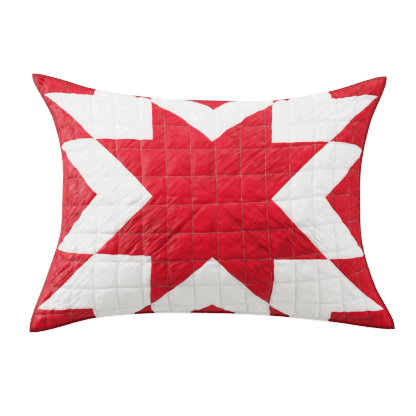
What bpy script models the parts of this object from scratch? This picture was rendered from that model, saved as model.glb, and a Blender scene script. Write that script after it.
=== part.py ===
"""A filled pillow sham with a quilted patchwork face, lying on its back.

Metres, +Z up. +X runs along the longer side, +Y towards the top of the face, and the
origin is on the floor under the middle. The sham is one solid: its knife-edge seam lies
in a drawn-in outline with four ears, the face rises to a crown, and the back settles
into a flat patch where it rests.

Two numbers from -1 to 1 name each place on the cloth: across, from the left side to the
right one, and up, from the bottom edge to the top one.
"""

import math
from collections import namedtuple

import bmesh
import bpy

NAME = "quilted_star_sham"
NODE = "sham"

# The cloth before it is filled.
CLOTH_WIDTH = 0.660
CLOTH_HEIGHT = 0.508
RIM = 0.006

# How high the seam and the crown stand, and the fill at which the back lies flat.
SEAM_HEIGHT = 0.074
CROWN = 0.120
BACK_RESTS_AT = 0.62
BACK_CURVE = 1.25

# Where the seam lies in plan once the sham is filled. A row for each sixth of the way:
# the left and right sides at that height, and the bottom and top edges at that width.
Outline = namedtuple("Outline", "left right bottom top")
OUTLINE = (
    Outline(left=-0.3345, right=0.3345, bottom=-0.2375, top=0.2375),
    Outline(left=-0.3025, right=0.2955, bottom=-0.2095, top=0.2085),
    Outline(left=-0.2765, right=0.2730, bottom=-0.2000, top=0.1915),
    Outline(left=-0.2715, right=0.2690, bottom=-0.2000, top=0.1865),
    Outline(left=-0.2720, right=0.2715, bottom=-0.2045, top=0.1860),
    Outline(left=-0.2890, right=0.2885, bottom=-0.2155, top=0.2035),
    Outline(left=-0.3260, right=0.3200, bottom=-0.2310, top=0.2325),
)

# How the cloth crowds towards an edge as it rolls over it: at the low end of the other
# direction, at the middle and at the high end, and how close to the edge that happens.
Roll = namedtuple("Roll", "low middle high power")
ROLL_ACROSS = Roll(low=-0.05, middle=0.18, high=0.0, power=3.8)
ROLL_UP = Roll(low=-0.12, middle=0.26, high=-0.07, power=2.7)

# The filling sits a little above the middle, more on the left.
Lift = namedtuple("Lift", "low middle high")
LIFT = Lift(low=0.012, middle=0.016, high=-0.002)
END_POWER = 3.4

# How far each ear hangs below the seam's height at the middle of a side.
Ears = namedtuple("Ears", "bottom_left bottom_right top_left top_right")
EAR_DROP = Ears(bottom_left=0.024, bottom_right=0.018, top_left=0.012, top_right=0.020)
EAR_POWER = 4

# The section of the filling. The cloth keeps its length, so what the plan takes from it
# near the edges goes into the rise.
Section = namedtuple("Section", "power round")
SECTION_ACROSS = Section(power=2.4, round=0.9)
SECTION_UP = Section(power=2.0, round=1.0)

# The quilting lines, in cloth metres from the middle. They stand a little askew.
COLUMN_PITCH = 0.0449
ROW_PITCH = 0.0513
COLUMN_LINES = 14
ROW_LINES = 9
FIRST_COLUMN = -0.3058
FIRST_ROW = -0.2167
COLUMN_LEAN = -0.028
ROW_LEAN = 0.055
ROW_BOW = 0.080
STEPS = 4
PUFF = 0.0030
PUFF_ROUND = 0.6
RIM_POWER = 6

# The deepest drag creases. Each row is a soft trough on the face: the place of its
# middle, half its length, half its width, its depth, and its turn from the X axis.
Crease = namedtuple("Crease", "across up length width depth turn")
CREASES = (
    Crease(across=-0.30, up=-0.17, length=0.070, width=0.012, depth=0.0030, turn=48),
    Crease(across=-0.17, up=-0.30, length=0.060, width=0.011, depth=0.0026, turn=44),
    Crease(across=0.24, up=-0.26, length=0.060, width=0.012, depth=0.0024, turn=-42),
    Crease(across=-0.72, up=0.16, length=0.060, width=0.012, depth=0.0026, turn=40),
    Crease(across=0.52, up=0.52, length=0.055, width=0.012, depth=0.0022, turn=38),
    Crease(across=-0.93, up=0.90, length=0.045, width=0.010, depth=0.0030, turn=-58),
    Crease(across=0.90, up=0.86, length=0.050, width=0.010, depth=0.0030, turn=35),
    Crease(across=-0.88, up=-0.88, length=0.050, width=0.011, depth=0.0028, turn=36),
    Crease(across=0.90, up=-0.90, length=0.050, width=0.011, depth=0.0028, turn=-34),
)

RED_COTTON = (0.50, 0.012, 0.030, 1.0)


def clear_scene():
    for obj in list(bpy.data.objects):
        bpy.data.objects.remove(obj, do_unlink=True)


def cotton_material():
    material = bpy.data.materials.new("red_cotton")
    material.use_nodes = True
    shader = material.node_tree.nodes["Principled BSDF"]
    shader.inputs["Base Color"].default_value = RED_COTTON
    shader.inputs["Roughness"].default_value = 0.9
    shader.inputs["Metallic"].default_value = 0.0
    return material


def between_ends(values, place):
    """The middle value, changing to the low or the high one towards that end."""
    share = abs(place) ** END_POWER
    end = values.low if place < 0 else values.high
    return values.middle * (1 - share) + end * share


def outline_at(column, place):
    """A smooth curve through one column of the outline, at a place from -1 to 1."""
    values = [getattr(row, column) for row in OUTLINE]
    values = [2 * values[0] - values[1]] + values + [2 * values[-1] - values[-2]]
    spans = len(OUTLINE) - 1
    along = (place + 1) / 2 * spans
    first = min(int(along), spans - 1)
    along -= first
    before, start, end, after = values[first : first + 4]
    bend = 3 * (start - end) + after - before
    slope = 2 * before - 5 * start + 4 * end - after
    return start + 0.5 * along * (end - before + along * (slope + along * bend))


def rolled(place, roll, other):
    """How far out a place on the cloth lies, as a share of the way to the edge."""
    crowding = between_ends(roll, other)
    return place * (1 + crowding * (1 - abs(place) ** roll.power))


def plan(across, up):
    """The place on the floor under a place on the cloth."""
    left = outline_at("left", up)
    right = outline_at("right", up)
    bottom = outline_at("bottom", across)
    top = outline_at("top", across)
    out_x = rolled(across, ROLL_ACROSS, up)
    out_y = rolled(up, ROLL_UP, across)
    x = (right - left) / 2 * out_x + (right + left) / 2 * out_x**2
    y = (top + bottom) / 2 + (top - bottom) / 2 * out_y
    y += between_ends(LIFT, across) * (1 - up**2)
    return x, y


def section_height(section, place):
    return (1 - min(1.0, abs(place)) ** section.power) ** section.round


def filling(across, up):
    """The share of the crown's height that the filling has here, from 0 to 1."""
    return section_height(SECTION_ACROSS, across) * section_height(SECTION_UP, up)


def seam_height(across, up):
    """The height of the seam's own surface, which hangs lower at the ears."""
    left = (1 - across) / 2
    right = (1 + across) / 2
    low = EAR_DROP.bottom_left * left + EAR_DROP.bottom_right * right
    high = EAR_DROP.top_left * left + EAR_DROP.top_right * right
    drop = low * (1 - up) / 2 + high * (1 + up) / 2
    return SEAM_HEIGHT - drop * abs(across * up) ** EAR_POWER


def face_point(across, up):
    x, y = plan(across, up)
    return x, y, seam_height(across, up) + RIM / 2 + CROWN * filling(across, up)


def back_point(across, up):
    x, y = plan(across, up)
    hollow = max(0.0, 1 - filling(across, up) / BACK_RESTS_AT)
    return x, y, (seam_height(across, up) - RIM / 2) * hollow**BACK_CURVE


def line_places(half, first, pitch, lines):
    """Cloth places from edge to edge, with STEPS steps between quilting lines."""
    stops = [-half] + [first + pitch * index for index in range(lines)] + [half]
    places = []
    for start, end in zip(stops, stops[1:]):
        places += [start + (end - start) * step / STEPS for step in range(STEPS)]
    return places + [half]


def outer_fade(place, half, first):
    """1 between the quilting lines, falling to 0 at the cloth's edge."""
    return min(1.0, (half - abs(place)) / (half - abs(first)))


def cloth_places(columns, rows, column, row):
    """Where a grid point lies on the cloth, with the quilting's lean."""
    half_width = CLOTH_WIDTH / 2
    half_height = CLOTH_HEIGHT / 2
    flat_x = columns[column]
    flat_y = rows[row]
    lean_x = COLUMN_LEAN * flat_y * outer_fade(flat_x, half_width, columns[STEPS])
    lean_y = ROW_LEAN * flat_x + ROW_BOW * flat_x**2
    lean_y *= outer_fade(flat_y, half_height, rows[STEPS])
    return (flat_x + lean_x) / half_width, (flat_y + lean_y) / half_height


def puff_height(column, row):
    """How far the cloth stands proud between the quilting lines."""
    step_x = (column % STEPS) / STEPS * 2 - 1
    step_y = (row % STEPS) / STEPS * 2 - 1
    return PUFF * ((1 - step_x**2) * (1 - step_y**2)) ** PUFF_ROUND


def crease_depth(across, up):
    """How deep the drag creases are at a place on the cloth."""
    x, y = plan(across, up)
    depth = 0.0
    for crease in CREASES:
        middle_x, middle_y = plan(crease.across, crease.up)
        turn = math.radians(crease.turn)
        away_x = x - middle_x
        away_y = y - middle_y
        along = (away_x * math.cos(turn) + away_y * math.sin(turn)) / crease.length
        beside = (away_y * math.cos(turn) - away_x * math.sin(turn)) / crease.width
        depth += crease.depth * math.exp(-(along**2) - beside**2)
    return depth


def inside_rim(across, up):
    """1 over most of the face, falling to 0 at the seam."""
    return 1 - max(abs(across), abs(up)) ** RIM_POWER


def slab_of_cells(columns, rows):
    """A closed slab, one cell thick, with a grid of cells on its face and its back."""
    mesh = bmesh.new()
    bmesh.ops.create_grid(
        mesh, x_segments=len(columns) - 1, y_segments=len(rows) - 1, size=1
    )
    raised = bmesh.ops.extrude_face_region(mesh, geom=mesh.faces[:])["geom"]
    corners = [item for item in raised if isinstance(item, bmesh.types.BMVert)]
    bmesh.ops.translate(mesh, verts=corners, vec=(0, 0, 1))
    bmesh.ops.recalc_face_normals(mesh, faces=mesh.faces[:])
    return mesh


def shape_slab(mesh, columns, rows):
    """Moves the slab's points onto the filled sham, then raises its quilting."""
    raised = {}
    for vert in mesh.verts:
        column = round((vert.co.x + 1) / 2 * (len(columns) - 1))
        row = round((vert.co.y + 1) / 2 * (len(rows) - 1))
        across, up = cloth_places(columns, rows, column, row)
        if vert.co.z > 0.5:
            vert.co = face_point(across, up)
            relief = puff_height(column, row) - crease_depth(across, up)
            raised[vert] = relief * inside_rim(across, up)
        else:
            vert.co = back_point(across, up)
    mesh.normal_update()
    moves = {vert: vert.normal * height for vert, height in raised.items()}
    for vert, move in moves.items():
        vert.co += move


def join_flat_patch(mesh):
    """Makes one face of the cells that rest on the floor."""
    resting = [face for face in mesh.faces if all(v.co.z == 0 for v in face.verts)]
    bmesh.ops.dissolve_faces(mesh, faces=resting, use_verts=True)


def build_sham(collection):
    columns = line_places(CLOTH_WIDTH / 2, FIRST_COLUMN, COLUMN_PITCH, COLUMN_LINES)
    rows = line_places(CLOTH_HEIGHT / 2, FIRST_ROW, ROW_PITCH, ROW_LINES)
    mesh = slab_of_cells(columns, rows)
    shape_slab(mesh, columns, rows)
    join_flat_patch(mesh)
    data = bpy.data.meshes.new(NODE)
    mesh.to_mesh(data)
    mesh.free()
    data.shade_smooth()
    data.materials.append(cotton_material())
    sham = bpy.data.objects.new(NODE, data)
    collection.objects.link(sham)
    return sham


def main():
    clear_scene()
    collection = bpy.data.collections.new(NAME)
    bpy.context.scene.collection.children.link(collection)
    build_sham(collection)


main()
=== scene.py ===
"""The looks of a filled pillow sham with a quilted star patchwork face.

Metres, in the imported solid's own frame: the sham lies on its back on z = 0, +X is to the
right of its face and +Y to the top. A place on the cloth is (s, t) in metres from the
middle of the flat, unfilled face, and across and up are the same place from -1 to 1.
"""

import math
from collections import namedtuple

import bpy
import numpy as np
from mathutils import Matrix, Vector


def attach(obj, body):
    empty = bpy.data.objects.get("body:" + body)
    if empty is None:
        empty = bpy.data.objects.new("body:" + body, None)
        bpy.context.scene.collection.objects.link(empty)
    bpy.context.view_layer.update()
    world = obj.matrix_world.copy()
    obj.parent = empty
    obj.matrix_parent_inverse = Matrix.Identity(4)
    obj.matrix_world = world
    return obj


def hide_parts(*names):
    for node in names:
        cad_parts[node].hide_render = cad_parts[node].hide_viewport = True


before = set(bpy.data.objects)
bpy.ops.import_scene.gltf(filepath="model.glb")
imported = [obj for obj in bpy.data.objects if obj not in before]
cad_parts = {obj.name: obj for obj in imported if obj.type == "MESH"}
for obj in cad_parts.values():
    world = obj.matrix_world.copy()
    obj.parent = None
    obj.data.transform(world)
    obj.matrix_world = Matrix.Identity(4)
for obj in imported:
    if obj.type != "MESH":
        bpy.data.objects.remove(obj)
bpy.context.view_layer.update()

NODE = "sham"
BODY = "root"

# The cloth before it is filled, and one square of its patchwork.
SQUARE = 0.1075
HALF_WIDTH = 0.330
HALF_HEIGHT = 0.254

# The filled shape, as the solid has it: the rim's thickness, the height of the seam over the
# floor and of the crown over the seam, the filling's share from which the back rests on the
# floor, and how the back curves up to the seam.
RIM = 0.006
SEAM_HEIGHT = 0.074
CROWN = 0.120
BACK_RESTS_AT = 0.62
BACK_CURVE = 1.25

# The four sides of the outline, at even places from one end of a side to the other.
Outline = namedtuple("Outline", "left right bottom top")
OUTLINE = (
    Outline(left=-0.3345, right=0.3345, bottom=-0.2375, top=0.2375),
    Outline(left=-0.3025, right=0.2955, bottom=-0.2095, top=0.2085),
    Outline(left=-0.2765, right=0.2730, bottom=-0.2000, top=0.1915),
    Outline(left=-0.2715, right=0.2690, bottom=-0.2000, top=0.1865),
    Outline(left=-0.2720, right=0.2715, bottom=-0.2045, top=0.1860),
    Outline(left=-0.2890, right=0.2885, bottom=-0.2155, top=0.2035),
    Outline(left=-0.3260, right=0.3200, bottom=-0.2310, top=0.2325),
)

# How the cloth rolls off towards the edges, how far its rows lie up in the middle, how far
# the ears hang below the seam, and the filling's sections across and up.
Roll = namedtuple("Roll", "low middle high power")
ROLL_ACROSS = Roll(low=-0.05, middle=0.18, high=0.0, power=3.8)
ROLL_UP = Roll(low=-0.12, middle=0.26, high=-0.07, power=2.7)
Lift = namedtuple("Lift", "low middle high")
LIFT = Lift(low=0.012, middle=0.016, high=-0.002)
END_POWER = 3.4
Ears = namedtuple("Ears", "bottom_left bottom_right top_left top_right")
EAR_DROP = Ears(bottom_left=0.024, bottom_right=0.018, top_left=0.012, top_right=0.020)
EAR_POWER = 4
Section = namedtuple("Section", "power round")
SECTION_ACROSS = Section(power=2.4, round=0.9)
SECTION_UP = Section(power=2.0, round=1.0)

# The turned edge lies flat as a narrow flange, and the filling starts behind it. The ears
# swell out a little on their way to rounded tips.
FLANGE = 0.0036
FLANGE_SHIFT = 0.0026
FLANGE_FADE = 0.034
FLANGE_FOOT = 0.017
EAR_SLOPE = 0.35
TIP_CUT = 0.0012
TIP_POWER = 40

# Small shifts of the pieced cloth on its filling: the middle and reach in squares, and
# the shift in metres. They fade out before the rim.
NUDGE_FADE = 0.030
Nudge = namedtuple("Nudge", "across up right rise reach")
NUDGES = (
    Nudge(across=2.0, up=0.0, right=-0.003, rise=0.003, reach=0.6),
    Nudge(across=-2.0, up=1.0, right=-0.004, rise=0.0, reach=0.6),
    Nudge(across=2.0, up=1.0, right=0.005, rise=0.002, reach=0.6),
    Nudge(across=1.0, up=-1.0, right=0.003, rise=-0.002, reach=0.6),
    Nudge(across=-2.0, up=2.0, right=0.003, rise=0.002, reach=0.4),
    Nudge(across=0.0, up=2.0, right=0.002, rise=-0.010, reach=0.4),
    Nudge(across=-2.0, up=-2.0, right=0.004, rise=-0.005, reach=0.5),
    Nudge(across=1.0, up=-2.0, right=-0.007, rise=0.004, reach=0.4),
    Nudge(across=2.0, up=-2.0, right=-0.003, rise=-0.004, reach=0.4),
)

# Slides of the cloth along the rim, which widen the small triangles in the middle of the
# top and the bottom and shift the corner and the ear's tip at the top left. They don't fade
# out.
SLIDES = (
    Nudge(across=-0.42, up=2.36, right=-0.016, rise=0.0, reach=0.36),
    Nudge(across=0.40, up=2.36, right=0.007, rise=0.0, reach=0.34),
    Nudge(across=-0.40, up=-2.36, right=-0.003, rise=0.0, reach=0.34),
    Nudge(across=0.40, up=-2.36, right=0.006, rise=0.0, reach=0.34),
    Nudge(across=-2.50, up=2.36, right=0.007, rise=-0.0020, reach=0.45),
    Nudge(across=-3.07, up=2.36, right=-0.004, rise=0.0, reach=0.30),
)

# The cloth's own small waver, which keeps the seams from being ruled straight.
WAVER = 0.0006
WAVER_CELL = 0.016
WAVER_SEEDS = (21, 22)

# Mesh steps: the face has this many to a patchwork square, and the back half as many.
FACE_STEPS = 48

# Quilting lines: the first of each set, the pitch, and how they stand askew.
COLUMN_PITCH = 0.0449
ROW_PITCH = 0.0513
COLUMN_LINES = 15
ROW_LINES = 9
FIRST_COLUMN = -0.3058
FIRST_ROW = -0.2167
COLUMN_LEAN = -0.028
ROW_LEAN = 0.055
ROW_BOW = 0.080
ROW_FAN = -0.17

# The relief of the quilting, the patchwork seams and the turned edge.
PUFF = 0.0030
PUFF_REACH = 0.0044
GROOVE_ROUND = 0.0006
SEAM_DEPTH = 0.0008
SEAM_REACH = 0.0020
RIM_ROUND = 0.003
EDGE_BAND = 0.0042
EDGE_GROOVE = 0.0007
EDGE_REACH = 0.0013
EDGE_FADE = 0.009
# Midway up the left side the turned edge's painted shade fades, over this half height and
# reach.
PALE_EDGE_HALF = 0.080
PALE_EDGE_REACH = 0.070

# The filling's own lumps, coarse and fine: the size of a lump and its height in metres.
Lumps = namedtuple("Lumps", "cell height seed")
LUMPS = (
    Lumps(cell=0.022, height=0.0006, seed=31),
    Lumps(cell=0.0080, height=0.0004, seed=32),
)

# A pull is a patch of the cloth: its middle and half size in squares, and its strength.
Pull = namedtuple("Pull", "across up wide high strength")

# The large white pieces at the bottom and the top left lie calmer than the rest, down to
# this share of the puff.
CALM_PUFF = 0.45
CALM_PIECES = (
    Pull(across=-1.75, up=-1.70, wide=0.85, high=0.70, strength=0.80),
    Pull(across=0.00, up=-1.80, wide=0.70, high=0.60, strength=0.70),
    Pull(across=1.85, up=-1.70, wide=0.90, high=0.70, strength=0.65),
    Pull(across=-1.70, up=1.80, wide=0.80, high=0.60, strength=0.40),
)

# The face settles as simulated cloth on every other line of its grid: frames, steps a frame,
# air pressure, the cloth's slack as a share of its size, the mass of a point, and in metres
# how far a point may move and how near to a quilting line it is held.
SETTLE_FRAMES = 20
SETTLE_QUALITY = 5
SETTLE_PRESSURE = 1.0
SETTLE_SLACK = 0.022
SETTLE_MASS = 0.002
SETTLE_CAP = 0.003
SETTLE_HELD = 0.0026

# The seams between red pieces lie in soft troughs from the middle: direction in degrees,
# length in squares and depth in metres.
Spoke = namedtuple("Spoke", "turn length depth")
SPOKES = (
    Spoke(turn=90, length=1.02, depth=0.0021),
    Spoke(turn=180, length=1.02, depth=0.0005),
    Spoke(turn=0, length=1.02, depth=0.0005),
    Spoke(turn=225, length=1.46, depth=0.0014),
    Spoke(turn=315, length=1.46, depth=0.0019),
    Spoke(turn=135, length=0.95, depth=0.0008),
    Spoke(turn=270, length=0.95, depth=0.0011),
)
SPOKE_REACH = 0.0050
SPOKE_START = 0.10
SPOKE_FADE = 0.30

# Folds placed one by one: the middle in squares, the length, half width and depth in metres
# (a ridge has a negative depth), and the direction in degrees.
Fold = namedtuple("Fold", "across up length width depth turn")
FOLDS = (
    Fold(across=-2.55, up=-1.28, length=0.090, width=0.0040, depth=0.0022, turn=42),
    Fold(across=-2.66, up=-1.22, length=0.075, width=0.0035, depth=-0.0012, turn=44),
    Fold(across=-2.80, up=-1.75, length=0.070, width=0.0035, depth=0.0014, turn=52),
    Fold(across=-1.08, up=-0.28, length=0.030, width=0.0026, depth=0.0013, turn=40),
    Fold(across=-0.98, up=-0.42, length=0.036, width=0.0026, depth=0.0014, turn=42),
    Fold(across=-0.86, up=-0.26, length=0.032, width=0.0026, depth=0.0011, turn=40),
    Fold(across=-0.93, up=-0.58, length=0.026, width=0.0024, depth=0.0010, turn=43),
    Fold(across=-1.42, up=-0.78, length=0.034, width=0.0026, depth=0.0014, turn=37),
    Fold(across=-1.36, up=-0.90, length=0.026, width=0.0024, depth=0.0011, turn=35),
    Fold(across=-0.98, up=-0.76, length=0.044, width=0.0028, depth=0.0015, turn=45),
    Fold(across=-0.84, up=-0.74, length=0.036, width=0.0026, depth=0.0012, turn=45),
    Fold(across=1.62, up=-0.72, length=0.060, width=0.0028, depth=0.0012, turn=-40),
    Fold(across=1.50, up=-0.78, length=0.046, width=0.0026, depth=0.0010, turn=-38),
    Fold(across=1.46, up=-0.58, length=0.040, width=0.0026, depth=0.0009, turn=-42),
    Fold(across=0.62, up=-0.38, length=0.040, width=0.0028, depth=0.0010, turn=-52),
    Fold(across=0.36, up=-0.34, length=0.034, width=0.0028, depth=-0.0009, turn=-50),
    Fold(across=-0.17, up=0.16, length=0.048, width=0.0026, depth=0.0013, turn=-40),
    Fold(across=-0.40, up=0.27, length=0.036, width=0.0026, depth=0.0012, turn=-37),
    Fold(across=0.14, up=0.25, length=0.040, width=0.0024, depth=0.0013, turn=44),
    Fold(across=0.24, up=0.27, length=0.036, width=0.0024, depth=0.0011, turn=42),
    Fold(across=2.72, up=0.30, length=0.080, width=0.0030, depth=0.0012, turn=86),
    Fold(across=2.84, up=-0.10, length=0.090, width=0.0030, depth=0.0014, turn=90),
    Fold(across=2.90, up=-1.42, length=0.070, width=0.0030, depth=0.0014, turn=112),
    Fold(across=2.78, up=-1.50, length=0.060, width=0.0030, depth=0.0010, turn=112),
    Fold(across=2.60, up=2.18, length=0.034, width=0.0038, depth=0.0026, turn=80),
    Fold(across=2.50, up=2.20, length=0.030, width=0.0040, depth=-0.0016, turn=78),
    Fold(across=2.78, up=2.18, length=0.034, width=0.0038, depth=0.0026, turn=68),
    Fold(across=2.88, up=2.22, length=0.028, width=0.0040, depth=-0.0014, turn=62),
    Fold(across=2.30, up=2.20, length=0.026, width=0.0034, depth=0.0016, turn=72),
    Fold(across=-2.91, up=2.27, length=0.018, width=0.0034, depth=0.0046, turn=10),
    Fold(across=-2.95, up=2.19, length=0.016, width=0.0032, depth=0.0044, turn=-12),
    Fold(across=-2.76, up=2.24, length=0.022, width=0.0046, depth=-0.0022, turn=40),
    Fold(across=-2.55, up=2.22, length=0.022, width=0.0035, depth=0.0018, turn=20),
    Fold(across=-2.62, up=1.55, length=0.020, width=0.0040, depth=0.0022, turn=-50),
    Fold(across=-2.70, up=1.62, length=0.020, width=0.0040, depth=-0.0014, turn=-50),
)

# Where the filling pulls the cloth into drag creases between the stitches, in three
# directions.
RISING_PULLS = (
    Pull(across=-1.05, up=-0.55, wide=0.50, high=0.55, strength=1.0),
    Pull(across=0.55, up=1.05, wide=0.45, high=0.70, strength=0.9),
    Pull(across=1.10, up=0.55, wide=0.35, high=0.35, strength=0.8),
    Pull(across=-0.60, up=0.60, wide=0.90, high=0.40, strength=0.45),
    Pull(across=-1.40, up=1.35, wide=0.40, high=0.60, strength=0.5),
    Pull(across=-0.75, up=1.45, wide=0.30, high=0.50, strength=0.6),
    Pull(across=1.65, up=1.65, wide=0.55, high=0.45, strength=0.9),
    Pull(across=2.50, up=1.90, wide=0.40, high=0.25, strength=0.6),
    Pull(across=-2.00, up=0.00, wide=0.70, high=0.80, strength=0.6),
    Pull(across=-2.65, up=-0.20, wide=0.35, high=0.60, strength=0.6),
    Pull(across=-2.45, up=1.30, wide=0.35, high=0.50, strength=0.6),
    Pull(across=-2.60, up=-1.40, wide=0.40, high=0.60, strength=0.8),
    Pull(across=-0.60, up=-1.40, wide=0.35, high=0.40, strength=0.5),
    Pull(across=-1.80, up=-1.55, wide=0.70, high=0.45, strength=0.12),
    Pull(across=2.55, up=1.10, wide=0.30, high=0.40, strength=0.6),
    Pull(across=-2.75, up=2.10, wide=0.40, high=0.25, strength=0.7),
    Pull(across=2.65, up=2.15, wide=0.40, high=0.20, strength=0.6),
)
FALLING_PULLS = (
    Pull(across=1.35, up=-0.65, wide=0.60, high=0.35, strength=1.0),
    Pull(across=0.60, up=-0.45, wide=0.45, high=0.40, strength=0.6),
    Pull(across=0.60, up=-1.35, wide=0.45, high=0.45, strength=0.6),
    Pull(across=1.90, up=-1.60, wide=0.70, high=0.45, strength=0.25),
    Pull(across=2.50, up=-1.30, wide=0.35, high=0.40, strength=0.5),
    Pull(across=-0.28, up=0.25, wide=0.30, high=0.22, strength=0.4),
    Pull(across=-2.75, up=2.15, wide=0.35, high=0.22, strength=0.5),
)
UPRIGHT_PULLS = (
    Pull(across=2.80, up=0.00, wide=0.22, high=0.90, strength=0.8),
    Pull(across=2.45, up=-2.20, wide=0.70, high=0.18, strength=1.0),
    Pull(across=-2.60, up=-2.15, wide=0.40, high=0.20, strength=0.8),
    Pull(across=2.60, up=2.18, wide=0.40, high=0.18, strength=0.9),
    Pull(across=-2.40, up=2.20, wide=0.50, high=0.16, strength=0.6),
    Pull(across=0.0, up=-2.25, wide=0.45, high=0.16, strength=0.7),
)

# One set of creases: the direction in degrees, their spacing and length in metres, and
# the seed of their places.
Creases = namedtuple("Creases", "turn spacing length seed pulls")
CREASES = (
    Creases(turn=43, spacing=0.0066, length=0.040, seed=7, pulls=RISING_PULLS),
    Creases(turn=-42, spacing=0.0066, length=0.042, seed=8, pulls=FALLING_PULLS),
    Creases(turn=88, spacing=0.0070, length=0.026, seed=9, pulls=UPRIGHT_PULLS),
)

# Their depth in metres, their half width in levels of the noise, and how far and how often
# they sway to the side.
CREASE_DEPTH = 0.0016
CREASE_WIDTH = 0.30
CREASE_SWAY = 0.4
CREASE_SWAY_RATE = 2.1

# The noise repeats after this many lumps or creases.
NOISE_LATTICE = 128

# A fold this deep has its full painted shade. Beside a stitch line the creases are held down,
# over this reach and to this share of their depth.
DARKEST_DEPTH = 0.0024
STITCH_HOLD = 0.0030
LEAST_CREASE = 0.25

# Stitching: the rings of one stitch lie this share along it, and their thickness and rise
# are in threads.
STITCH_LENGTH = 0.0027
STITCH_PITCH = 0.0041
THREAD = 0.00030
THREAD_SIDES = 5
Ring = namedtuple("Ring", "along thick rise")
THREAD_RINGS = (
    Ring(along=0.0, thick=0.35, rise=-0.5),
    Ring(along=0.2, thick=1.0, rise=0.2),
    Ring(along=0.8, thick=1.0, rise=0.2),
    Ring(along=1.0, thick=0.35, rise=-0.5),
)

# The order of the sham's materials.
RED_SLOT, WHITE_SLOT, BACK_SLOT = range(3)

# Colours, as linear values.
RED = (0.455, 0.0020, 0.0115, 1.0)
WHITE = (0.780, 0.769, 0.730, 1.0)
SHADOW_PINK = (0.690, 0.560, 0.545, 1.0)
THREAD_WHITE = (0.620, 0.440, 0.430, 1.0)
FLOOR_WHITE = 0.95

# The cotton's roughness, gloss and line bump, and the shade painted into its colour: how much
# of its colour is left in folds, fine creases and quilting lines and on the turned edge, where
# shade falls.
Shading = namedtuple("Shading", "fold_shade crease_shade line_shade line_depth edge_shade")
RED_SHADING = Shading(
    fold_shade=0.70, crease_shade=0.76, line_shade=0.54, line_depth=0.0008, edge_shade=0.40
)
WHITE_SHADING = Shading(
    fold_shade=0.90, crease_shade=0.92, line_shade=0.86, line_depth=0.0004, edge_shade=1.0
)
BACK_SHADING = Shading(
    fold_shade=1.0, crease_shade=1.0, line_shade=1.0, line_depth=0.0, edge_shade=0.40
)
COTTON_ROUGHNESS = 0.52
COTTON_GLOSS = 0.100
THREAD_ROUGHNESS = 0.7
EDGE_SOFT = 0.0004

# The pink that shows through white cloth beside a seam: in full up to the first distance and
# gone at the second, in metres, and its share of the colour.
PINK_FULL = 0.0045
PINK_GONE = 0.0070
PINK_SHARE = 0.35

# How a noise varies a colour: between two of its levels, from dark to pale.
Mottle = namedtuple("Mottle", "scale detail low high dark pale")
BROAD_MOTTLE = Mottle(scale=26.0, detail=3.0, low=0.30, high=0.70, dark=0.95, pale=1.04)
FINE_MOTTLE = Mottle(scale=420.0, detail=2.0, low=0.25, high=0.75, dark=0.93, pale=1.05)
THREAD_MOTTLE = Mottle(scale=1500.0, detail=2.0, low=0.30, high=0.70, dark=0.88, pale=1.05)

# Bump below the mesh's own steps, and the shade painted along the quilting lines: depths and
# reaches in metres.
RUMPLE_DEPTH = 0.0010
SLUB_DEPTH = 0.00015
LINE_HALF = 0.0004
LINE_REACH = 0.0016
FINE_DEPTH = 0.0011

# Its noises. Slubs run along both threads of the weave. Fine creases are drawn out along
# their direction, and the cloth is flat up to this level of theirs.
Noise = namedtuple("Noise", "scale detail")
RUMPLES = Noise(scale=90.0, detail=3.0)
SLUBS = Noise(scale=900.0, detail=1.0)
SLUB_STRETCHES = ((1.0, 0.12, 1.0), (0.12, 1.0, 1.0))
FINE_CREASES = Noise(scale=135.0, detail=1.0)
FINE_STRETCH = 7.0
FINE_FLAT = 0.420

# A line number or a noise's level folds over here, into a distance or a valley.
HALF_STEP = 0.5

# The mix node's sockets for colours.
MIX_FIRST, MIX_SECOND, MIX_RESULT = 6, 7, 2

# The floor's half size and how far it lies below the sham, in metres, and its glow: on the
# sham, and as seen. It doesn't mirror in the cloth.
FLOOR_HALF = 4.0
FLOOR_GAP = 0.0002
FLOOR_GLOW = 0.36
FLOOR_BRIGHT = 2.66

# The studio's lights. One without glossy gives no sheen, and one without diffuse gives only
# sheen.
Light = namedtuple("Light", "name place size power diffuse glossy")
LIGHTS = (
    Light("key_light", (-1.7, 1.7, 1.5), size=0.7, power=114.0, diffuse=True, glossy=True),
    Light("top_light", (0.6, 2.5, 1.6), size=1.6, power=74.0, diffuse=True, glossy=True),
    Light("left_light", (-2.6, 0.8, 1.0), size=1.2, power=77.0, diffuse=True, glossy=True),
    Light("left_sheen", (-2.8, 0.3, 0.40), size=0.8, power=240.0, diffuse=False, glossy=True),
    Light("top_sheen", (0.8, 2.8, 0.40), size=0.8, power=110.0, diffuse=False, glossy=True),
    Light("right_light", (2.5, 0.1, 1.5), size=1.6, power=42.0, diffuse=True, glossy=False),
    Light("high_light", (1.4, 0.0, 2.6), size=1.6, power=36.0, diffuse=True, glossy=False),
    Light("bottom_light", (0.0, -2.2, 2.6), size=1.6, power=34.0, diffuse=True, glossy=False),
)

# The film's response: straight up to the start of its shoulder, which levels off at the
# top, and pure white from the last level on. The backdrop has that level.
SHOULDER_START = 0.28
SHOULDER_TOP = 0.888
SHOULDER_LEVELS = (0.28, 0.4, 0.55, 0.75, 1.0, 1.4, 1.9, 2.4)
PURE_WHITE = 3.1

# The camera looks straight down from a long way off, and its picture is this wide at the
# seam.
CAMERA_RISE = 3.2
PICTURE_WIDTH = 0.7517
CAMERA_X = -0.0072
CAMERA_Y = -0.0090
SENSOR = 36.0


def between_ends(values, place):
    """The middle value, changing to the low or the high one towards that end."""
    share = np.abs(place) ** END_POWER
    end = np.where(place < 0, values.low, values.high)
    return values.middle * (1 - share) + end * share


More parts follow.
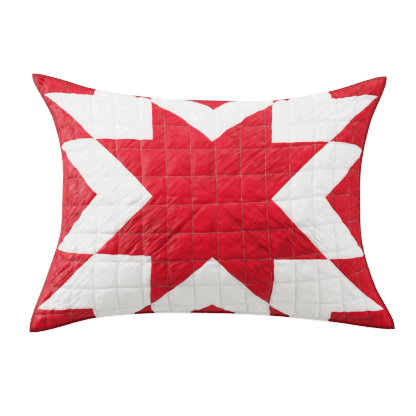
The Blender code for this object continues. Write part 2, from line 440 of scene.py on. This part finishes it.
def outline_at(column, place):
    """A smooth curve through one column of the outline, at places from -1 to 1."""
    values = np.array([getattr(row, column) for row in OUTLINE])
    before = values[1] - 2 * EAR_SLOPE * (values[1] - values[0])
    after = values[-2] + 2 * EAR_SLOPE * (values[-1] - values[-2])
    values = np.concatenate([[before], values, [after]])
    spans = len(OUTLINE) - 1
    along = (place + 1) / 2 * spans
    first = np.minimum(along.astype(int), spans - 1)
    along = along - first
    before, start, end, after = (values[first + step] for step in range(4))
    bend = 3 * (start - end) + after - before
    slope = 2 * before - 5 * start + 4 * end - after
    return start + 0.5 * along * (end - before + along * (slope + along * bend))


def rolled(place, roll, other):
    """How far out a place on the cloth lies, as a share of the way to the edge."""
    crowding = between_ends(roll, other)
    return place * (1 + crowding * (1 - np.abs(place) ** roll.power))


def nudge_share(across, up, nudge):
    """How much of a nudge reaches a place, from 0 to 1."""
    from_s = across * HALF_WIDTH / SQUARE - nudge.across
    from_t = up * HALF_HEIGHT / SQUARE - nudge.up
    return np.exp(-(from_s**2 + from_t**2) / nudge.reach**2)


def plan(across, up):
    """The place on the floor under a place on the cloth."""
    left = outline_at("left", up)
    right = outline_at("right", up)
    bottom = outline_at("bottom", across)
    top = outline_at("top", across)
    out_x = rolled(across, ROLL_ACROSS, up)
    out_y = rolled(up, ROLL_UP, across)
    x = (right - left) / 2 * out_x + (right + left) / 2 * out_x**2
    y = (top + bottom) / 2 + (top - bottom) / 2 * out_y
    y = y + between_ends(LIFT, across) * (1 - up**2)
    inward = rim_distance(across * HALF_WIDTH, up * HALF_HEIGHT)
    free = smooth_step(inward / NUDGE_FADE)
    for nudge in NUDGES:
        share = nudge_share(across, up, nudge) * free
        x = x + nudge.right * share
        y = y + nudge.rise * share
    for slide in SLIDES:
        share = nudge_share(across, up, slide)
        x = x + slide.right * share
        y = y + slide.rise * share
    cells = (across * HALF_WIDTH / WAVER_CELL, up * HALF_HEIGHT / WAVER_CELL)
    x = x + WAVER * free * lattice_noise(*cells, WAVER_SEEDS[0])
    y = y + WAVER * free * lattice_noise(*cells, WAVER_SEEDS[1])
    tip = np.abs(across * up) ** TIP_POWER
    x = x - np.sign(across) * (flange_shift(HALF_WIDTH, across) + TIP_CUT * tip)
    y = y - np.sign(up) * (flange_shift(HALF_HEIGHT, up) + TIP_CUT * tip)
    return x, y


def smooth_step(value):
    value = np.clip(value, 0, 1)
    return value * value * (3 - 2 * value)


def flange_shift(half, place):
    """How far the flat flange pushes the filling's foot inwards from one pair of sides."""
    inward = half * (1 - np.abs(place))
    rise = np.minimum(inward / FLANGE, 1)
    return FLANGE_SHIFT * rise * (1 - smooth_step((inward - FLANGE) / FLANGE_FADE))


def section_height(section, place):
    return (1 - np.minimum(1.0, np.abs(place)) ** section.power) ** section.round


def filling(across, up):
    """The share of the crown's height that the filling has here, from 0 to 1."""
    inward = rim_distance(across * HALF_WIDTH, up * HALF_HEIGHT)
    foot = smooth_step((inward - FLANGE) / FLANGE_FOOT)
    return section_height(SECTION_ACROSS, across) * section_height(SECTION_UP, up) * foot


def seam_height(across, up):
    """The height of the seam's own surface, which hangs lower at the ears."""
    left = (1 - across) / 2
    right = (1 + across) / 2
    low = EAR_DROP.bottom_left * left + EAR_DROP.bottom_right * right
    high = EAR_DROP.top_left * left + EAR_DROP.top_right * right
    drop = low * (1 - up) / 2 + high * (1 + up) / 2
    return SEAM_HEIGHT - drop * np.abs(across * up) ** EAR_POWER


def rim_distance(s, t):
    return np.minimum(HALF_WIDTH - np.abs(s), HALF_HEIGHT - np.abs(t))


def rim_thickness(s, t):
    """Half the thickness of the turned edge, rounded off at the seam."""
    inward = np.clip(rim_distance(s, t) / RIM_ROUND, 0, 1)
    return RIM / 2 * np.sqrt(1 - (1 - inward) ** 2)


def face_points(s, t):
    across = s / HALF_WIDTH
    up = t / HALF_HEIGHT
    x, y = plan(across, up)
    z = seam_height(across, up) + rim_thickness(s, t) + CROWN * filling(across, up)
    return np.stack([x, y, z], axis=-1)


def back_points(s, t):
    across = s / HALF_WIDTH
    up = t / HALF_HEIGHT
    x, y = plan(across, up)
    hollow = np.maximum(0.0, 1 - filling(across, up) / BACK_RESTS_AT)
    z = (seam_height(across, up) - rim_thickness(s, t)) * hollow**BACK_CURVE
    return np.stack([x, y, z], axis=-1)


def normals_of(points):
    """Unit normals of a grid of points, pointing up out of the face."""
    along_t, along_s = np.gradient(points, axis=(0, 1))
    normals = np.cross(along_s, along_t)
    return normals / np.linalg.norm(normals, axis=-1, keepdims=True)


def grid_lines(half):
    """Places from edge to edge: every step from the middle, and the two edges."""
    count = math.floor(half / SQUARE * FACE_STEPS)
    inner = np.arange(-count, count + 1) * SQUARE / FACE_STEPS
    return np.concatenate([[-half], inner, [half]])


def line_numbers(s, t):
    """A place in quilting lines: whole numbers lie on an upright or a level line."""
    column = (s - COLUMN_LEAN * t - FIRST_COLUMN) / COLUMN_PITCH
    level = t * row_spread(s, t) - ROW_LEAN * s - ROW_BOW * s**2
    return column, (level - FIRST_ROW) / ROW_PITCH


def row_spread(s, t):
    """How far the level lines fan out, which they don't at the bottom left."""
    return np.where((s < 0) & (t < 0), 1.0, 1 - ROW_FAN * s)


def line_distances(s, t):
    """Distances to the nearest upright and level quilting lines."""
    column, row = line_numbers(s, t)
    nearest_column = np.clip(np.round(column), 0, COLUMN_LINES - 1)
    nearest_row = np.clip(np.round(row), 0, ROW_LINES - 1)
    to_column = np.abs(column - nearest_column) * COLUMN_PITCH
    to_row = np.abs(row - nearest_row) * ROW_PITCH
    return to_column, to_row


def is_red(s, t):
    """The patchwork, read from the distances to the middle in squares."""
    a = np.abs(s) / SQUARE
    b = np.abs(t) / SQUARE
    middle_rows = (a <= b + 1) | (a > b + 2)
    star_rows = ((a >= b - 1) & (a <= 1)) | (a > b + 1)
    end_rows = (a < b - 2) | ((a > 1) & (a < b - 1)) | (a > 2)
    return np.where(b <= 1, middle_rows, np.where(b <= 2, star_rows, end_rows))


def seam_distance(s, t):
    """Distance to the nearest seam between patchwork pieces."""
    far = 9.0
    a = np.abs(s) / SQUARE
    b = np.abs(t) / SQUARE
    lines = (
        np.where(a < 1, far, np.abs(b - 1)),
        np.where(a > 2, np.abs(b - 2), far),
        np.where(b > 1, np.abs(a - 1), far),
        np.where(b > 2, np.abs(a - 2), far),
        np.where(a < 1, b, far),
        np.where(b < 1, a, far),
        np.where(a < 1, np.abs(a - b), far) / math.sqrt(2),
        np.abs(a - b - 1) / math.sqrt(2),
        np.abs(a - b - 2) / math.sqrt(2),
        np.abs(b - a - 1) / math.sqrt(2),
        np.abs(b - a - 2) / math.sqrt(2),
    )
    return np.min(lines, axis=0) * SQUARE


def groove(distance, reach):
    """1 on a line, falling to 0 within its reach."""
    return np.exp(-((distance / reach) ** 2))


def puff(distance):
    """0 in a quilting line, rising to 1 between two lines."""
    rounded = np.sqrt(distance**2 + GROOVE_ROUND**2) - GROOVE_ROUND
    return 1 - np.exp(-rounded / PUFF_REACH)


def dent(s, t, fold):
    """A soft trough along a fold: its depth, fading out at the sides and the two ends."""
    turn = math.radians(fold.turn)
    from_s = s - fold.across * SQUARE
    from_t = t - fold.up * SQUARE
    along = from_s * math.cos(turn) + from_t * math.sin(turn)
    beside = from_t * math.cos(turn) - from_s * math.sin(turn)
    ends = np.clip(1 - (2 * along / fold.length) ** 2, 0, 1) ** 2
    return fold.depth * groove(beside, fold.width) * ends


def lattice_noise(u, v, seed):
    """Smooth uneven values from -1 to 1, one for each corner of a unit lattice."""
    shape = (NOISE_LATTICE, NOISE_LATTICE)
    values = np.random.default_rng(seed).uniform(-1, 1, shape)
    first_u = np.floor(u).astype(int)
    first_v = np.floor(v).astype(int)
    over = smooth_step(u - first_u)
    up = smooth_step(v - first_v)

    def corner(right, above):
        return values[(first_u + right) % NOISE_LATTICE, (first_v + above) % NOISE_LATTICE]

    lower = corner(0, 0) * (1 - over) + corner(1, 0) * over
    upper = corner(0, 1) * (1 - over) + corner(1, 1) * over
    return lower * (1 - up) + upper * up


def pulled(s, t, pulls):
    """How strongly the cloth is pulled into creases, from 0 to 1."""
    strength = np.zeros_like(s)
    for pull in pulls:
        over = (s / SQUARE - pull.across) / pull.wide
        up = (t / SQUARE - pull.up) / pull.high
        strength += pull.strength * np.exp(-(over**4 + up**4))
    return np.minimum(strength, 1.0)


def drag_creases(s, t):
    """The depth of the fine creases: thin valleys side by side, uneven in length."""
    depth = np.zeros_like(s)
    for creases in CREASES:
        turn = math.radians(creases.turn)
        along = (s * math.cos(turn) + t * math.sin(turn)) / creases.length
        beside = (t * math.cos(turn) - s * math.sin(turn)) / creases.spacing
        sway = CREASE_SWAY * np.sin(along * CREASE_SWAY_RATE)
        level = lattice_noise(along, beside + sway, creases.seed)
        valleys = np.exp(-((level / CREASE_WIDTH) ** 2))
        depth += CREASE_DEPTH * valleys * pulled(s, t, creases.pulls)
    return depth


def spokes(s, t):
    """The troughs over the seams between red pieces, from the middle outwards."""
    depth = np.zeros_like(s)
    for spoke in SPOKES:
        turn = math.radians(spoke.turn)
        along = (s * math.cos(turn) + t * math.sin(turn)) / SQUARE
        beside = t * math.cos(turn) - s * math.sin(turn)
        start = smooth_step((along - SPOKE_START) / SPOKE_FADE)
        ends = start * smooth_step((spoke.length - along) / SPOKE_FADE)
        depth = np.maximum(depth, spoke.depth * groove(beside, SPOKE_REACH) * ends)
    return depth


def folded(s, t):
    """The depth of all folds and creases, which end at the turned edge."""
    to_column, to_row = line_distances(s, t)
    held = np.clip(np.minimum(to_column, to_row) / STITCH_HOLD, LEAST_CREASE, 1)
    depth = drag_creases(s, t) * held
    for fold in FOLDS:
        depth += dent(s, t, fold)
    return depth * np.clip((rim_distance(s, t) - EDGE_BAND) / EDGE_BAND, 0, 1)


def relief(s, t):
    """How far the finished face stands out from its smooth form."""
    to_column, to_row = line_distances(s, t)
    from_rim = rim_distance(s, t)
    lively = 1 - pulled(s, t, CALM_PIECES)
    height = PUFF * puff(to_column) * puff(to_row) * (CALM_PUFF + (1 - CALM_PUFF) * lively)
    height -= SEAM_DEPTH * groove(seam_distance(s, t), SEAM_REACH)
    height -= spokes(s, t)
    for lumps in LUMPS:
        noise = lattice_noise(s / lumps.cell, t / lumps.cell, lumps.seed)
        height += lumps.height * noise * lively
    height *= np.clip((from_rim - EDGE_BAND) / EDGE_FADE, 0, 1) ** 0.5
    return height - folded(s, t) - EDGE_GROOVE * groove(from_rim - EDGE_BAND, EDGE_REACH)


def cells_of(numbers):
    """The four corners of every cell in a grid of point numbers."""
    corners = (numbers[:-1, :-1], numbers[:-1, 1:], numbers[1:, 1:], numbers[1:, :-1])
    return list(zip(*(corner.ravel().tolist() for corner in corners)))


def settling_sheet(points, s, t):
    """A sheet of cloth in the face's shape, held at the rim and along the quilting lines."""
    numbers = np.arange(s.size).reshape(s.shape)
    sheet = make_mesh("settling_sheet", points.reshape(-1, 3), cells_of(numbers))
    stitched = np.minimum(*line_distances(s, t)) < SETTLE_HELD
    turned = rim_distance(s, t) < EDGE_BAND + EDGE_FADE
    held = sheet.vertex_groups.new(name="held")
    held.add(numbers[stitched | turned].tolist(), 1.0, "REPLACE")
    return sheet


def settled(points, s, t):
    """The face after a short cloth simulation, in which the filling presses it out."""
    start = points[::2, ::2]
    sheet = settling_sheet(start, s[::2, ::2], t[::2, ::2])
    cloth = sheet.modifiers.new("settling", "CLOTH")
    cloth.settings.vertex_group_mass = "held"
    cloth.settings.quality = SETTLE_QUALITY
    cloth.settings.mass = SETTLE_MASS
    cloth.settings.use_pressure = True
    cloth.settings.uniform_pressure_force = SETTLE_PRESSURE
    cloth.settings.shrink_min = -SETTLE_SLACK
    cloth.settings.effector_weights.gravity = 0.0
    cloth.collision_settings.use_collision = False
    cloth.point_cache.frame_end = SETTLE_FRAMES
    for frame_number in range(1, SETTLE_FRAMES + 1):
        bpy.context.scene.frame_set(frame_number)
    moved = np.empty(start.size, np.float32)
    result = sheet.evaluated_get(bpy.context.evaluated_depsgraph_get())
    result.data.vertices.foreach_get("co", moved)
    bpy.data.objects.remove(sheet)
    bpy.context.scene.frame_set(1)

    normal = normals_of(start)
    out = np.sum((moved.reshape(start.shape) - start) * normal, axis=-1)
    lively = 1 - pulled(s[::2, ::2], t[::2, ::2], CALM_PIECES)
    shift = normal * (np.clip(out, -SETTLE_CAP, SETTLE_CAP) * lively)[..., None]
    fine = np.zeros_like(points)
    fine[::2, ::2] = shift
    fine[1::2, ::2] = (shift[:-1] + shift[1:]) / 2
    fine[:, 1::2] = (fine[:, :-1:2] + fine[:, 2::2]) / 2
    return points + fine


def edge_shade(s, t):
    """Painted shade on the turned edge, from 0 to 1. It is palest midway up the lit left side.
    """
    beside = np.exp(-(((s + HALF_WIDTH) / PALE_EDGE_REACH) ** 2))
    return 1 - beside * (1 - smooth_step((np.abs(t) - PALE_EDGE_HALF) / PALE_EDGE_REACH))


def cell_colours(s, t):
    """Whether the lower, right and upper quarter of each cell is red."""
    quarters = ((0.5, 0.2), (0.8, 0.5), (0.5, 0.8))
    colours = []
    for over, up in quarters:
        places_s = s[:-1] + np.diff(s) * over
        places_t = t[:-1] + np.diff(t) * up
        colours.append(is_red(*np.meshgrid(places_s, places_t)).ravel().tolist())
    return zip(*colours)


def face_polygons(numbers, s, t):
    """The face's cells and their slots, cut in two where a slanting seam crosses."""
    polygons, slots = [], []
    for (a, b, c, d), (lower, right, upper) in zip(cells_of(numbers), cell_colours(s, t)):
        if lower == upper:
            polygons.append((a, b, c, d))
            slots.append(RED_SLOT if lower else WHITE_SLOT)
            continue
        if lower == right:
            polygons += [(a, b, c), (a, c, d)]
        else:
            polygons += [(a, b, d), (b, c, d)]
        slots += [RED_SLOT if lower else WHITE_SLOT, RED_SLOT if upper else WHITE_SLOT]
    return polygons, slots


def back_polygons(face, back):
    """The back's cells, facing down. One on the seam takes in the face's point halfway."""
    polygons = []
    last_row = len(back) - 2
    last_column = len(back[0]) - 2
    for row in range(last_row + 1):
        for column in range(last_column + 1):
            corners = [back[row][column]]
            if column == 0:
                corners.append(face[2 * row + 1][0])
            corners.append(back[row + 1][column])
            if row == last_row:
                corners.append(face[-1][2 * column + 1])
            corners.append(back[row + 1][column + 1])
            if column == last_column:
                corners.append(face[2 * row + 1][-1])
            corners.append(back[row][column + 1])
            if row == 0:
                corners.append(face[0][2 * column + 1])
            polygons.append(corners)
    return polygons


def make_mesh(name, points, polygons):
    mesh = bpy.data.meshes.new(name)
    mesh.from_pydata(points.tolist(), [], polygons)
    mesh.update()
    mesh.shade_smooth()
    piece = bpy.data.objects.new(name, mesh)
    bpy.context.scene.collection.objects.link(piece)
    return piece


def keep_values(mesh, name, values):
    """Keeps one number, or one vector, for each point, for the materials to read."""
    kind = "FLOAT" if values.ndim == 1 else "FLOAT_VECTOR"
    attribute = mesh.attributes.new(name, kind, "POINT")
    field = "value" if values.ndim == 1 else "vector"
    attribute.data.foreach_set(field, values.astype(np.float32).ravel())


def make_sham(s_lines, t_lines, points):
    """The filled sham as one closed mesh, face and back."""
    rows, columns = len(t_lines), len(s_lines)
    face = np.arange(rows * columns).reshape(rows, columns)
    back = face[::2, ::2].copy()
    inner = back[1:-1, 1:-1]
    inner[:] = np.arange(inner.size).reshape(inner.shape) + face.size
    s, t = np.meshgrid(s_lines, t_lines)
    back_s = s[::2, ::2][1:-1, 1:-1]
    back_t = t[::2, ::2][1:-1, 1:-1]
    behind = back_points(back_s, back_t)
    polygons, slots = face_polygons(face, s_lines, t_lines)
    backs = back_polygons(face.tolist(), back.tolist())
    everything = np.concatenate([points.reshape(-1, 3), behind.reshape(-1, 3)])
    sham = make_mesh("quilted_sham", everything, polygons + backs)
    sham.data.polygons.foreach_set("material_index", slots + [BACK_SLOT] * len(backs))

    all_s = np.concatenate([s.ravel(), back_s.ravel()])
    all_t = np.concatenate([t.ravel(), back_t.ravel()])
    cloth = np.stack([all_s, all_t, np.zeros_like(all_s)], axis=1)
    keep_values(sham.data, "cloth", cloth)
    keep_values(sham.data, "rim", rim_distance(all_s, all_t))
    keep_values(sham.data, "seam", seam_distance(all_s, all_t))
    column, row = line_numbers(all_s, all_t)
    # The third kept value is the shade painted into folds, creases and the troughs over seams.
    hollow = folded(all_s, all_t) + spokes(all_s, all_t)
    shade = np.clip(hollow / DARKEST_DEPTH, 0, 1)
    keep_values(sham.data, "quilting", np.stack([column, row, shade], axis=1))
    pulls = [pulled(all_s, all_t, creases.pulls) for creases in CREASES]
    keep_values(sham.data, "pull", np.stack(pulls, axis=1))
    # How much painted shade the turned edge takes here.
    keep_values(sham.data, "edge", edge_shade(all_s, all_t))
    return sham


def surface_at(values, s_lines, t_lines, s, t):
    """Values of the face's grid at any places on the cloth."""
    column = np.interp(s, s_lines, np.arange(len(s_lines)))
    row = np.interp(t, t_lines, np.arange(len(t_lines)))
    left = np.minimum(column.astype(int), len(s_lines) - 2)
    low = np.minimum(row.astype(int), len(t_lines) - 2)
    over = (column - left)[..., None]
    up = (row - low)[..., None]
    lower = values[low, left] * (1 - over) + values[low, left + 1] * over
    upper = values[low + 1, left] * (1 - over) + values[low + 1, left + 1] * over
    return lower * (1 - up) + upper * up


def stitch_starts(half):
    """Where the stitches of one line begin, from edge to edge."""
    reach = half - EDGE_BAND - STITCH_PITCH
    count = int(2 * reach / STITCH_PITCH)
    return (np.arange(count) - count / 2) * STITCH_PITCH


def upright_places(along):
    """Places along every upright quilting line. Along is an array of t."""
    lines = FIRST_COLUMN + COLUMN_PITCH * np.arange(COLUMN_LINES)
    s = lines.reshape(-1, *[1] * along.ndim) + COLUMN_LEAN * along
    return s, np.broadcast_to(along, s.shape)


def level_places(along):
    """Places along every level quilting line. Along is an array of s."""
    lines = FIRST_ROW + ROW_PITCH * np.arange(ROW_LINES)
    bowed = ROW_LEAN * along + ROW_BOW * along**2
    level = lines.reshape(-1, *[1] * along.ndim) + bowed
    t = level / row_spread(along, level)
    return np.broadcast_to(along, t.shape), t


def thread_polygons(stitches):
    """The faces of this many stitches, each a tube of rings that is closed at both ends."""
    polygons = []
    size = len(THREAD_RINGS) * THREAD_SIDES
    for first in range(0, stitches * size, size):
        polygons.append([first + step for step in range(THREAD_SIDES)])
        for ring in range(len(THREAD_RINGS) - 1):
            start = first + ring * THREAD_SIDES
            for step in range(THREAD_SIDES):
                after = (step + 1) % THREAD_SIDES
                a, b = start + step, start + after
                polygons.append((b, a, a + THREAD_SIDES, b + THREAD_SIDES))
        last = first + size - THREAD_SIDES
        polygons.append([last + step for step in reversed(range(THREAD_SIDES))])
    return polygons


def make_stitches(name, places, half, s_lines, t_lines, points):
    """Short lengths of thread along one set of quilting lines, each dipping into the cloth."""
    share, thick, rise = np.array(THREAD_RINGS).T
    along = stitch_starts(half)[:, None] + share * STITCH_LENGTH
    s, t = places(along)
    s = s.reshape(-1, len(share))
    t = t.reshape(-1, len(share))
    inside = rim_distance(s, t).min(axis=1) > EDGE_BAND
    s, t = s[inside], t[inside]
    centre = surface_at(points, s_lines, t_lines, s, t)
    normal = surface_at(normals_of(points), s_lines, t_lines, s, t)
    normal /= np.linalg.norm(normal, axis=-1, keepdims=True)
    way = centre[:, -1:] - centre[:, :1]
    side = np.cross(way, normal)
    side /= np.linalg.norm(side, axis=-1, keepdims=True)
    centre = centre + normal * (rise * THREAD)[:, None]
    turn = np.arange(THREAD_SIDES) / THREAD_SIDES * 2 * math.pi
    radius = (thick * THREAD / 2)[:, None, None]
    outward = (
        np.cos(turn)[:, None] * normal[:, :, None] + np.sin(turn)[:, None] * side[:, :, None]
    )
    rings = centre[:, :, None] + radius * outward
    return make_mesh(name, rings.reshape(-1, 3), thread_polygons(len(rings)))


def new_tree(name):
    material = bpy.data.materials.new(name)
    material.use_nodes = True
    tree = material.node_tree
    return material, tree, tree.nodes["Principled BSDF"]


def add(tree, kind, inputs=(), **settings):
    """Adds a node. Inputs are (socket, value or output socket) pairs."""
    node = tree.nodes.new(kind)
    for name, value in settings.items():
        setattr(node, name, value)
    for name, value in inputs:
        if isinstance(value, bpy.types.NodeSocket):
            tree.links.new(value, node.inputs[name])
        else:
            node.inputs[name].default_value = value
    return node


def ramp(tree, value, low, high, start, end):
    """Start up to low, end from high on, and evenly between them."""
    inputs = (
        ("Value", value), ("From Min", low), ("From Max", high),
        ("To Min", start), ("To Max", end),
    )
    return add(tree, "ShaderNodeMapRange", inputs).outputs["Result"]


def maths(tree, operation, first, second):
    node = add(tree, "ShaderNodeMath", ((0, first), (1, second)), operation=operation)
    return node.outputs[0]


def multiply(tree, first, second):
    return maths(tree, "MULTIPLY", first, second)


def shaded(tree, value, amount, shade):
    """The value, falling to this share of it where the amount is 1."""
    return multiply(tree, value, ramp(tree, amount, 0.0, 1.0, 1.0, shade))


def noise_node(tree, place, noise):
    inputs = (("Vector", place), ("Scale", noise.scale), ("Detail", noise.detail))
    return add(tree, "ShaderNodeTexNoise", inputs).outputs["Fac"]


def mottled(tree, place, mottle):
    level = noise_node(tree, place, mottle)
    return ramp(tree, level, mottle.low, mottle.high, mottle.dark, mottle.pale)


def tinted(tree, colour, value):
    inputs = (("Color", colour), ("Value", value))
    return add(tree, "ShaderNodeHueSaturation", inputs).outputs["Color"]


def kept(tree, name, output):
    return add(tree, "ShaderNodeAttribute", attribute_name=name).outputs[output]


def separated(tree, vector):
    return add(tree, "ShaderNodeSeparateXYZ", (("Vector", vector),)).outputs


def line_distance_nodes(tree):
    """The distance to the nearest quilting line, in metres, from the kept line numbers."""
    numbers = separated(tree, kept(tree, "quilting", "Vector"))
    distances = []
    for number, pitch in ((numbers[0], COLUMN_PITCH), (numbers[1], ROW_PITCH)):
        distances.append(multiply(tree, maths(tree, "PINGPONG", number, HALF_STEP), pitch))
    return maths(tree, "MINIMUM", *distances)


def fine_crease_nodes(tree, cloth):
    """Thin valleys at both slants, as strong as the cloth is pulled there."""
    pulls = separated(tree, kept(tree, "pull", "Vector"))
    depths = []
    for creases, pull in zip(CREASES[:2], pulls):
        inputs = (
            ("Vector", cloth), ("Rotation", (0.0, 0.0, math.radians(creases.turn))),
            ("Scale", (FINE_STRETCH, 1.0, 1.0)),
        )
        turned = add(tree, "ShaderNodeMapping", inputs, vector_type="TEXTURE")
        streaks = noise_node(tree, turned.outputs[0], FINE_CREASES)
        folded_over = maths(tree, "PINGPONG", streaks, HALF_STEP)
        valley = ramp(tree, folded_over, FINE_FLAT, HALF_STEP, 0.0, 1.0)
        depths.append(multiply(tree, valley, pull))
    return maths(tree, "MAXIMUM", *depths)


def bump(tree, height, distance, normal=None, invert=False):
    inputs = [("Height", height), ("Strength", 1.0), ("Distance", distance)]
    if normal:
        inputs.append(("Normal", normal))
    return add(tree, "ShaderNodeBump", inputs, invert=invert).outputs[0]


def cloth_material(name, colour, shading, near_seam=None):
    """Plain-weave cotton: mottled colour, painted shade on folds, lines and turned edge,
    weave.
    """
    material, tree, shader = new_tree(name)
    cloth = kept(tree, "cloth", "Vector")
    rim = kept(tree, "rim", "Fac")
    line = line_distance_nodes(tree)
    crease = fine_crease_nodes(tree, cloth)
    fold = separated(tree, kept(tree, "quilting", "Vector"))[2]
    inside = ramp(tree, rim, EDGE_BAND, EDGE_BAND + EDGE_REACH, 0.0, 1.0)

    if near_seam:
        seam = kept(tree, "seam", "Fac")
        under = ramp(tree, seam, PINK_FULL, PINK_GONE, PINK_SHARE, 0.0)
        inputs = (("Factor", under), (MIX_FIRST, colour), (MIX_SECOND, near_seam))
        colour = add(tree, "ShaderNodeMix", inputs, data_type="RGBA").outputs[MIX_RESULT]
    value = multiply(
        tree, mottled(tree, cloth, BROAD_MOTTLE), mottled(tree, cloth, FINE_MOTTLE)
    )
    # Shade is painted into the colour in folds, troughs and fine creases.
    value = shaded(tree, value, fold, shading.fold_shade)
    value = shaded(tree, value, crease, shading.crease_shade)
    # Shade is painted into the colour along the valleys of the quilting lines.
    if shading.line_shade < 1:
        painted_line_shade = multiply(tree, ramp(tree, line, LINE_HALF, LINE_REACH, 1.0, 0.0), inside)
        value = shaded(tree, value, painted_line_shade, shading.line_shade)
    # The turned edge is painted darker, as shade, except midway up the left side.
    if shading.edge_shade < 1:
        painted_edge_shade = ramp(tree, rim, EDGE_BAND - EDGE_SOFT, EDGE_BAND + EDGE_SOFT, 1.0, 0.0)
        painted_edge_shade = multiply(tree, painted_edge_shade, kept(tree, "edge", "Fac"))
        value = shaded(tree, value, painted_edge_shade, shading.edge_shade)
    tree.links.new(tinted(tree, colour, value), shader.inputs["Base Color"])

    heights = []
    for stretch in SLUB_STRETCHES:
        mapped = add(tree, "ShaderNodeMapping", (("Vector", cloth), ("Scale", stretch)))
        heights.append(noise_node(tree, mapped.outputs[0], SLUBS))
    normal = bump(tree, noise_node(tree, cloth, RUMPLES), RUMPLE_DEPTH)
    normal = bump(tree, crease, FINE_DEPTH, normal, invert=True)
    if shading.line_shade < 1:
        beside = ramp(tree, line, 0.0, LINE_REACH, 0.0, 1.0)
        normal = bump(tree, multiply(tree, beside, inside), shading.line_depth, normal)
    normal = bump(tree, maths(tree, "ADD", *heights), SLUB_DEPTH, normal)
    tree.links.new(normal, shader.inputs["Normal"])
    shader.inputs["Roughness"].default_value = COTTON_ROUGHNESS
    shader.inputs["Specular IOR Level"].default_value = COTTON_GLOSS
    return material


def thread_material():
    material, tree, shader = new_tree("quilting_thread")
    place = add(tree, "ShaderNodeNewGeometry").outputs["Position"]
    tint = tinted(tree, THREAD_WHITE, mottled(tree, place, THREAD_MOTTLE))
    tree.links.new(tint, shader.inputs["Base Color"])
    shader.inputs["Roughness"].default_value = THREAD_ROUGHNESS
    return material


def floor_material():
    material, tree, shader = new_tree("studio_white")
    shader.inputs["Roughness"].default_value = 1.0
    shader.inputs["Specular IOR Level"].default_value = 0.0
    shader.inputs["Emission Color"].default_value = (1.0, 1.0, 1.0, 1.0)
    path = add(tree, "ShaderNodeLightPath").outputs
    white = ramp(tree, path["Is Glossy Ray"], 0.0, 1.0, FLOOR_WHITE, 0.0)
    tree.links.new(white, shader.inputs["Base Color"])
    on_sham = multiply(tree, path["Is Diffuse Ray"], FLOOR_GLOW)
    as_seen = multiply(tree, path["Is Camera Ray"], FLOOR_BRIGHT)
    tree.links.new(maths(tree, "ADD", on_sham, as_seen), shader.inputs["Emission Strength"])
    return material


def make_floor():
    corners = ((-1, -1), (1, -1), (1, 1), (-1, 1))
    points = np.array([(FLOOR_HALF * x, FLOOR_HALF * y, -FLOOR_GAP) for x, y in corners])
    floor = make_mesh("floor", points, [(0, 1, 2, 3)])
    floor.data.materials.append(floor_material())


def hang_light(lamp):
    """A square studio light that faces the middle of the sham."""
    data = bpy.data.lights.new(lamp.name, "AREA")
    data.size = lamp.size
    data.energy = lamp.power
    light = bpy.data.objects.new(lamp.name, data)
    light.location = lamp.place
    light.rotation_euler = (-Vector(lamp.place)).to_track_quat("-Z", "Y").to_euler()
    light.visible_diffuse = lamp.diffuse
    light.visible_glossy = lamp.glossy
    bpy.context.scene.collection.objects.link(light)


def light_studio():
    """The lights, and a white backdrop that only the camera sees."""
    for lamp in LIGHTS:
        hang_light(lamp)
    world = bpy.data.worlds.new("studio")
    world.use_nodes = True
    tree = world.node_tree
    background = tree.nodes["Background"]
    background.inputs["Color"].default_value = (1.0, 1.0, 1.0, 1.0)
    seen = add(tree, "ShaderNodeLightPath").outputs["Is Camera Ray"]
    tree.links.new(multiply(tree, seen, PURE_WHITE), background.inputs["Strength"])
    bpy.context.scene.world = world


def set_response():
    """Gives highlights a soft shoulder, as a camera does."""
    view = bpy.context.scene.view_settings
    view.view_transform = "Standard"
    view.use_curve_mapping = True
    mapping = view.curve_mapping
    mapping.clip_max_x = PURE_WHITE
    combined = mapping.curves[3]
    combined.points[1].location = (PURE_WHITE, 1.0)
    room = SHOULDER_TOP - SHOULDER_START
    for level in SHOULDER_LEVELS:
        above = (level - SHOULDER_START) / room
        combined.points.new(level, SHOULDER_START + room * (1 - math.exp(-above)))
    mapping.update()


def place_camera():
    data = bpy.data.cameras.new("camera")
    data.sensor_width = SENSOR
    data.lens = SENSOR * CAMERA_RISE / PICTURE_WIDTH
    camera = bpy.data.objects.new("camera", data)
    camera.location = (CAMERA_X, CAMERA_Y, SEAM_HEIGHT + RIM / 2 + CAMERA_RISE)
    bpy.context.scene.collection.objects.link(camera)
    bpy.context.scene.camera = camera


def dress_sham():
    s_lines = grid_lines(HALF_WIDTH)
    t_lines = grid_lines(HALF_HEIGHT)
    s, t = np.meshgrid(s_lines, t_lines)
    smooth = face_points(s, t)
    points = smooth + normals_of(smooth) * relief(s, t)[..., None]
    points = settled(points, s, t)

    sham = make_sham(s_lines, t_lines, points)
    white = cloth_material("white_cotton", WHITE, WHITE_SHADING, SHADOW_PINK)
    sham.data.materials.append(cloth_material("red_cotton", RED, RED_SHADING))
    sham.data.materials.append(white)
    sham.data.materials.append(cloth_material("red_cotton_back", RED, BACK_SHADING))
    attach(sham, BODY)
    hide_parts(NODE)

    thread = thread_material()
    sets = (
        ("upright_stitches", upright_places, HALF_HEIGHT),
        ("level_stitches", level_places, HALF_WIDTH),
    )
    for name, places, half in sets:
        stitches = make_stitches(name, places, half, s_lines, t_lines, points)
        stitches.data.materials.append(thread)
        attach(stitches, BODY)


place_camera()
light_studio()
set_response()
make_floor()
dress_sham()
